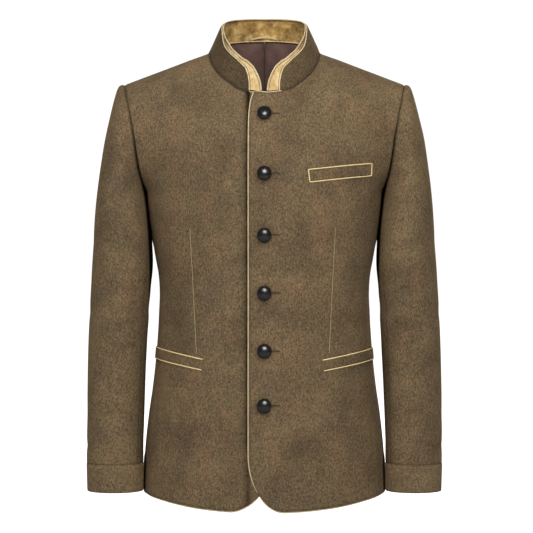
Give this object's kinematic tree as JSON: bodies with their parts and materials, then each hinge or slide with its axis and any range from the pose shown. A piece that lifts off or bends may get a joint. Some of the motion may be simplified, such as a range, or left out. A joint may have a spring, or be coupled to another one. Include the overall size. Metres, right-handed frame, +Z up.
{
  "type": "stand collar jacket",
  "caption": "Filled-out wool jacket with a short stand collar lined in pale suede, piped front edge, domed buttons, welt pockets and set-in sleeves, open at neck, hem and cuffs",
  "frame": {"origin": "In the middle of the neck, level with the two points where the shoulder seams meet the collar, which is where the wearer's neck and shoulders carry it", "axes": "+X to the wearer's left, +Y to the back, +Z up"},
  "size_m": [0.5846, 0.2707, 0.8142],
  "materials": {
    "cloth": "mottled brown milled wool, matt",
    "suede": "tan suede, soft and slightly cloudy",
    "piping": "thin pale tan suede cord",
    "lining": "dark plum-brown satin lining",
    "button": "polished black, domed"
  },
  "bodies": {
    "root": {"left_front": "cloth", "right_front": "cloth", "left_back": "cloth", "right_back": "cloth", "back_lining": "lining", "left_top_sleeve": "cloth", "left_under_sleeve": "cloth", "left_cuff": "cloth", "right_top_sleeve": "cloth", "right_under_sleeve": "cloth", "right_cuff": "cloth", "collar": "cloth", "collar_facing": "suede", "collar_piping": "piping", "facing_piping": "piping", "hanger_loop": "suede", "left_front_piping": "piping", "right_front_piping": "piping", "chest_welt": "cloth", "chest_piping": "piping", "left_hip_welt": "cloth", "left_hip_piping": "piping", "right_hip_welt": "cloth", "right_hip_piping": "piping", "button_1": "button", "button_2": "button", "button_3": "button", "button_4": "button", "button_5": "button", "button_6": "button"}
  },
  "joints": []
}
